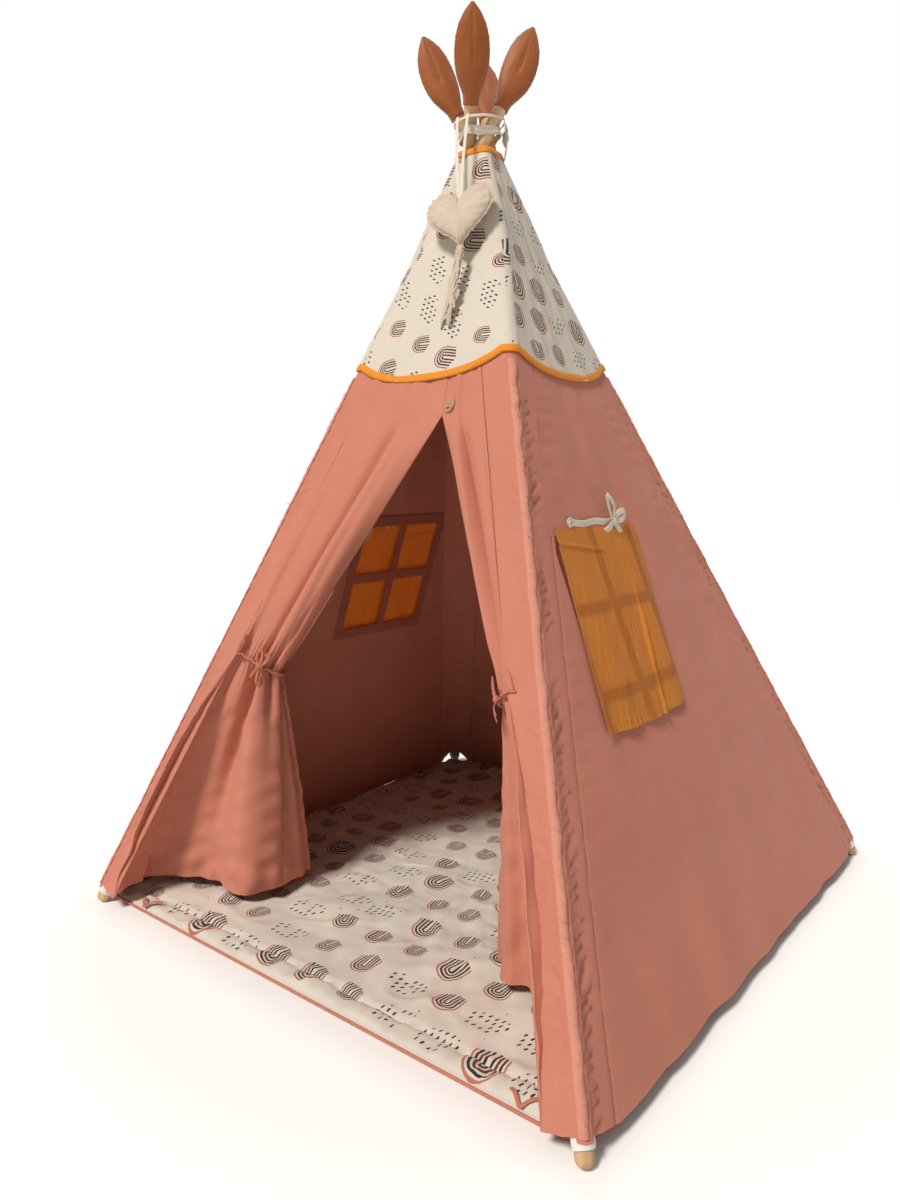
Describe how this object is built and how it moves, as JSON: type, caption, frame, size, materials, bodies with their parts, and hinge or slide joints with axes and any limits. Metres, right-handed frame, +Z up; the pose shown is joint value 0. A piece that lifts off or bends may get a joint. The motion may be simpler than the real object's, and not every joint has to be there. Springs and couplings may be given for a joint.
{
  "type": "kids teepee",
  "caption": "Child's play teepee: crossed wooden poles, cloth cover with tied-back door, curtained windows, printed cap, leaf toppers, heart pendant and padded floor mat.",
  "frame": {"origin": "on the floor, under the crossing of the poles", "axes": "+Z up; the door faces -Y; the window with the visible curtain is on the +X side; the closed wall is on the +Y side"},
  "size_m": [1.1174, 1.117, 1.6158],
  "materials": {
    "terracotta_cotton": "matt woven cotton",
    "printed_cotton": "matt woven cotton, small printed arches",
    "printed_mat": "matt woven cotton over wadding, small printed arches",
    "orange_binding": "matt bias binding",
    "orange_muslin": "thin crinkled muslin",
    "leaf_cotton": "stuffed cotton",
    "natural_linen": "rough natural linen",
    "cream_ribbon": "matt twill ribbon",
    "white_webbing": "matt webbing",
    "pine_poles": "sanded, unvarnished",
    "plywood_tag": "laser-cut plywood"
  },
  "bodies": {
    "cover": {"left_wall": "terracotta_cotton", "left_window_frame": "terracotta_cotton", "right_wall": "terracotta_cotton", "right_window_frame": "terracotta_cotton", "back_wall": "terracotta_cotton", "front_yoke": "terracotta_cotton", "left_door_casing": "terracotta_cotton", "right_door_casing": "terracotta_cotton", "cap": "printed_cotton", "cap_hem_binding": "orange_binding", "cap_top_binding": "orange_binding", "left_door_drape": "terracotta_cotton", "left_tie_back": "terracotta_cotton", "left_tie_bow": "terracotta_cotton", "right_door_drape": "terracotta_cotton", "right_tie_back": "terracotta_cotton", "right_tie_bow": "terracotta_cotton", "left_window_ribbon": "cream_ribbon", "left_window_bow": "cream_ribbon", "right_window_ribbon": "cream_ribbon", "right_window_bow": "cream_ribbon", "pole_tie": "printed_cotton", "heart_loop": "natural_linen", "pole_tie_bow": "printed_cotton", "mat": "printed_mat", "mat_piping": "terracotta_cotton", "mat_tie_front_left": "terracotta_cotton", "mat_tie_front_right": "terracotta_cotton", "mat_tie_back_right": "terracotta_cotton", "mat_tie_back_left": "terracotta_cotton"},
    "pole_front_left": {"pole_front_left": "pine_poles", "pole_sleeve_front_left": "terracotta_cotton", "corner_seam_front_left": "terracotta_cotton", "foot_loop_front_left": "white_webbing"},
    "topper_front_left": {"leaf_topper_front_left": "leaf_cotton"},
    "pole_front_right": {"pole_front_right": "pine_poles", "pole_sleeve_front_right": "terracotta_cotton", "corner_seam_front_right": "terracotta_cotton", "foot_loop_front_right": "white_webbing"},
    "topper_front_right": {"leaf_topper_front_right": "leaf_cotton"},
    "pole_back_right": {"pole_back_right": "pine_poles", "pole_sleeve_back_right": "terracotta_cotton", "corner_seam_back_right": "terracotta_cotton", "foot_loop_back_right": "white_webbing"},
    "topper_back_right": {"leaf_topper_back_right": "leaf_cotton"},
    "pole_back_left": {"pole_back_left": "pine_poles", "pole_sleeve_back_left": "terracotta_cotton", "corner_seam_back_left": "terracotta_cotton", "foot_loop_back_left": "white_webbing"},
    "topper_back_left": {"leaf_topper_back_left": "leaf_cotton"},
    "left_door_flap": {"left_door_tail": "terracotta_cotton"},
    "right_door_flap": {"right_door_tail": "terracotta_cotton"},
    "left_curtain": {"left_window_curtain": "orange_muslin"},
    "right_curtain": {"right_window_curtain": "orange_muslin"},
    "pendant": {"heart_pillow": "natural_linen", "heart_tapes": "natural_linen", "heart_tassel": "natural_linen"},
    "tag": {"door_tag": "plywood_tag"}
  },
  "joints": [
    {"name": "pole_fold_front_left", "type": "hinge", "parent": "cover", "child": "pole_front_left", "pos_m": [0.01315, -0.01315, 1.41], "axis": [0.7031, -0.711, -0.0101], "range_deg": [0, 21.5], "deforming": ["mat", "mat_piping", "left_door_tail", "right_door_tail", "leaf_topper_front_left", "leaf_topper_front_right", "leaf_topper_back_right", "leaf_topper_back_left"]},
    {"name": "pole_fold_front_right", "type": "hinge", "parent": "cover", "child": "pole_front_right", "pos_m": [0.01315, 0.01315, 1.41], "axis": [0.711, 0.7031, -0.0101], "range_deg": [0, 21.5]},
    {"name": "pole_fold_back_right", "type": "hinge", "parent": "cover", "child": "pole_back_right", "pos_m": [-0.01315, 0.01315, 1.41], "axis": [-0.7031, 0.711, -0.0101], "range_deg": [0, 21.5]},
    {"name": "pole_fold_back_left", "type": "hinge", "parent": "cover", "child": "pole_back_left", "pos_m": [-0.01315, -0.01315, 1.41], "axis": [-0.711, -0.7031, -0.0101], "range_deg": [0, 21.5]},
    {"name": "topper_slide_front_left", "type": "slide", "parent": "pole_front_left", "child": "topper_front_left", "axis": [0.3497, 0.3334, 0.8755], "range_m": [0, 0.06]},
    {"name": "topper_slide_front_right", "type": "slide", "parent": "pole_front_right", "child": "topper_front_right", "axis": [-0.3334, 0.3497, 0.8755], "range_m": [0, 0.06]},
    {"name": "topper_slide_back_right", "type": "slide", "parent": "pole_back_right", "child": "topper_back_right", "axis": [-0.3497, -0.3334, 0.8755], "range_m": [0, 0.06]},
    {"name": "topper_slide_back_left", "type": "slide", "parent": "pole_back_left", "child": "topper_back_left", "axis": [0.3334, -0.3497, 0.8755], "range_m": [0, 0.06]},
    {"name": "left_flap_swing", "type": "hinge", "parent": "pole_front_left", "child": "left_door_flap", "pos_m": [-0.48961, -0.55302, 0.034], "axis": [-0.35, -0.3351, -0.8748], "range_deg": [0, 30]},
    {"name": "right_flap_swing", "type": "hinge", "parent": "pole_front_right", "child": "right_door_flap", "pos_m": [0.49026, -0.55244, 0.034], "axis": [-0.3329, 0.348, 0.8764], "range_deg": [0, 30]},
    {"name": "left_curtain_lift", "type": "hinge", "parent": "cover", "child": "left_curtain", "pos_m": [-0.28799, 0.04875, 0.724], "axis": [-0.0252, 0.9997, 0], "range_deg": [0, 60]},
    {"name": "right_curtain_lift", "type": "hinge", "parent": "cover", "child": "right_curtain", "pos_m": [0.28865, -0.07474, 0.724], "axis": [0.0252, -0.9997, 0], "range_deg": [0, 60]},
    {"name": "pendant_swing", "type": "hinge", "parent": "cover", "child": "pendant", "pos_m": [0, -0.0482, 1.4565], "axis": [-1, 0, 0], "range_deg": [0, 35]},
    {"name": "tag_swing", "type": "hinge", "parent": "cover", "child": "tag", "pos_m": [0.08159, -0.1962, 0.944], "axis": [-0.9989, -0.0377, 0.0266], "range_deg": [0, 60]}
  ],
  "couplings": [
    {"joint": "pole_fold_front_right", "follows": "pole_fold_front_left", "ratio": 1},
    {"joint": "pole_fold_back_right", "follows": "pole_fold_front_left", "ratio": 1},
    {"joint": "pole_fold_back_left", "follows": "pole_fold_front_left", "ratio": 1}
  ]
}
